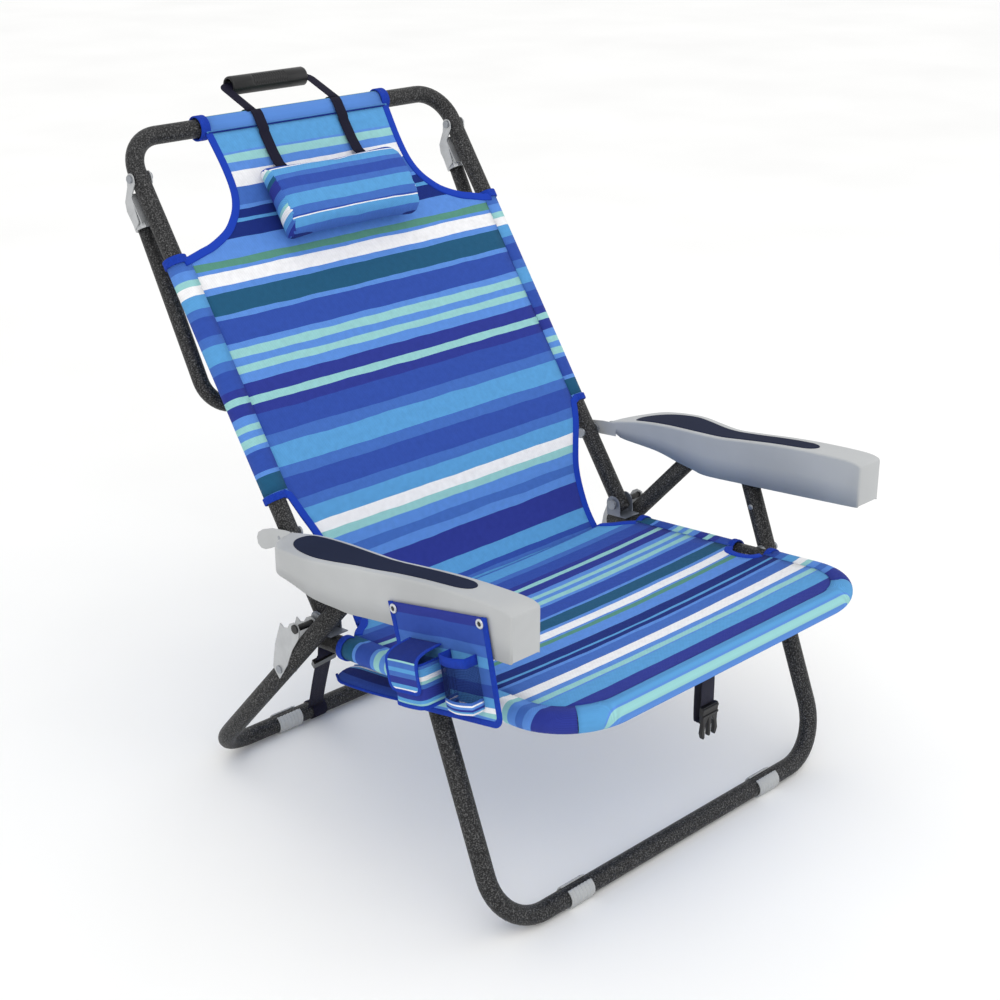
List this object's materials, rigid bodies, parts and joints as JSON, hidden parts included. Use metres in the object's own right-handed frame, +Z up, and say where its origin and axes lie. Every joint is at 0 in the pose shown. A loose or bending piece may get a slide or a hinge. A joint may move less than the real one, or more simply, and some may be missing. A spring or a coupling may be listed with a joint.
{
  "type": "folding beach chair",
  "caption": "Folding backpack beach chair with a striped sling on a tubular frame, plastic armrests, head pillow, carry handle, towel bar and side pouch.",
  "frame": {"origin": "middle of the whole chair's footprint box, on the floor under the clips", "axes": "+Z up, the chair faces -Y, +X is on the right of someone facing the chair; the chair's middle plane is x = 0.0102 m because the pouch widens one side"},
  "size_m": [0.7724, 0.9366, 0.9311],
  "materials": {
    "tube": "black hammered powder coat with fine grey speckle, satin",
    "sling": "woven polyester printed with wavy painterly cross stripes in blues, mint, green and white",
    "mesh": "see-through polyester mesh with a striped woven cup",
    "steel": "light grey zinc plate, satin",
    "fastener": "dark zinc-plated bolts and rivets",
    "snap": "bright nickel",
    "black_plastic": "black moulded plastic, fine grain",
    "grey_plastic": "light grey moulded plastic, satin",
    "arm_pad": "dark navy soft-touch inset, fine grain",
    "webbing": "navy-black polyester webbing",
    "strap_pad": "dark blue padded polyester with a striped edge"
  },
  "bodies": {
    "seat": {"seat_frame_tube": "tube", "sling_seat": "sling", "hinge_bracket_left": "steel", "hinge_bracket_right": "steel", "hinge_bolt_left": "fastener", "hinge_bolt_right": "fastener", "front_pivot_bolt_left": "fastener", "front_pivot_bolt_right": "fastener", "shoulder_strap_pad_left": "strap_pad", "shoulder_strap_pad_right": "strap_pad"},
    "back": {"back_frame_tube": "tube", "sling_back": "sling", "closing_buckle_female": "black_plastic", "towel_pivot_bolt_left": "fastener", "towel_pivot_bolt_right": "fastener", "armrest_bolt_left": "fastener", "armrest_bolt_right": "fastener"},
    "front_legs": {"front_leg_tube": "tube", "front_foot_clip_left": "grey_plastic", "front_foot_clip_right": "grey_plastic", "front_leg_pin_left": "fastener", "front_leg_pin_right": "fastener"},
    "rear_legs": {"rear_leg_tube": "tube", "rear_foot_clip_left": "grey_plastic", "rear_foot_clip_right": "grey_plastic", "notch_plate_outer_left": "steel", "notch_plate_outer_right": "steel", "notch_plate_inner_left": "steel", "notch_plate_inner_right": "steel", "notch_rod_left": "black_plastic", "notch_rod_right": "black_plastic", "notch_rivet_left": "fastener", "notch_rivet_right": "fastener", "rear_leg_pin_left": "fastener", "rear_leg_pin_right": "fastener"},
    "armrest_left": {"armrest_shell_left": "grey_plastic", "armrest_pad_left": "arm_pad", "pouch_panel": "sling", "pouch_box_pocket": "sling", "pouch_mesh_pocket": "mesh", "pouch_snap_rear": "snap", "pouch_snap_front": "snap"},
    "armrest_right": {"armrest_shell_right": "grey_plastic", "armrest_pad_right": "arm_pad"},
    "towel_bar": {"towel_bar_tube": "tube", "towel_bracket_left": "steel", "towel_bracket_right": "steel"},
    "pillow": {"head_pillow": "sling", "pillow_strap_left": "webbing", "pillow_strap_right": "webbing"},
    "handle": {"handle_grip": "black_plastic", "handle_webbing_left": "webbing", "handle_webbing_right": "webbing"},
    "closing_strap": {"closing_webbing": "webbing", "closing_buckle_male": "black_plastic"},
    "pouch_flap": {"pouch_flap": "sling"},
    "strap_left": {"shoulder_strap_webbing_left": "webbing", "ladder_lock_left": "black_plastic"},
    "strap_right": {"shoulder_strap_webbing_right": "webbing", "ladder_lock_right": "black_plastic"}
  },
  "joints": [
    {"name": "back_fold", "type": "hinge", "parent": "seat", "child": "back", "pos_m": [0.0102, -0.00491, 0.306], "axis": [1, 0, 0], "range_deg": [0, 100]},
    {"name": "front_leg_fold", "type": "hinge", "parent": "seat", "child": "front_legs", "pos_m": [0.0102, -0.26059, 0.29858], "axis": [1, 0, 0], "range_deg": [0, 90]},
    {"name": "armrest_left_fold", "type": "hinge", "parent": "back", "child": "armrest_left", "pos_m": [-0.2928, 0.06364, 0.4043], "axis": [1, 0, 0], "range_deg": [-96, 0]},
    {"name": "armrest_right_fold", "type": "hinge", "parent": "back", "child": "armrest_right", "pos_m": [0.3132, 0.06364, 0.4043], "axis": [1, 0, 0], "range_deg": [-96, 0]},
    {"name": "rear_leg_fold", "type": "hinge", "parent": "armrest_left", "child": "rear_legs", "pos_m": [-0.3098, -0.14216, 0.4283], "axis": [1, 0, 0], "range_deg": [0, 36]},
    {"name": "strap_left_swing", "type": "hinge", "parent": "seat", "child": "strap_left", "pos_m": [-0.2698, 0.00784, 0.2473], "axis": [1, 0, 0], "range_deg": [0, 57], "deforming": ["shoulder_strap_webbing_left"]},
    {"name": "strap_right_swing", "type": "hinge", "parent": "seat", "child": "strap_right", "pos_m": [0.2902, 0.00784, 0.2473], "axis": [1, 0, 0], "range_deg": [0, 57], "deforming": ["shoulder_strap_webbing_right"]},
    {"name": "towel_bar_swing", "type": "hinge", "parent": "back", "child": "towel_bar", "pos_m": [0.0102, 0.36196, 0.8319], "axis": [1, 0, 0], "range_deg": [0, 90]},
    {"name": "pillow_flip", "type": "hinge", "parent": "back", "child": "pillow", "pos_m": [0.0102, 0.394, 0.87783], "axis": [-1, 0, 0], "range_deg": [0, 120], "deforming": ["pillow_strap_left", "pillow_strap_right"]},
    {"name": "handle_swing", "type": "hinge", "parent": "back", "child": "handle", "pos_m": [0.0102, 0.394, 0.87783], "axis": [-1, 0, 0], "range_deg": [0, 120]},
    {"name": "closing_strap_swing", "type": "hinge", "parent": "seat", "child": "closing_strap", "pos_m": [0.0102, -0.41516, 0.3103], "axis": [1, 0, 0], "range_deg": [-60, 60]},
    {"name": "pouch_flap_lift", "type": "hinge", "parent": "armrest_left", "child": "pouch_flap", "pos_m": [-0.3452, -0.28173, 0.39705], "axis": [0, 0.977, -0.213], "range_deg": [0, 90]}
  ],
  "couplings": [
    {"joint": "front_leg_fold", "follows": "back_fold", "ratio": 0.8955},
    {"joint": "armrest_left_fold", "follows": "back_fold", "ratio": -0.9527},
    {"joint": "armrest_right_fold", "follows": "back_fold", "ratio": -0.9527},
    {"joint": "rear_leg_fold", "follows": "back_fold", "ratio": 0.3527},
    {"joint": "strap_left_swing", "follows": "back_fold", "ratio": 0.561},
    {"joint": "strap_right_swing", "follows": "back_fold", "ratio": 0.561}
  ]
}
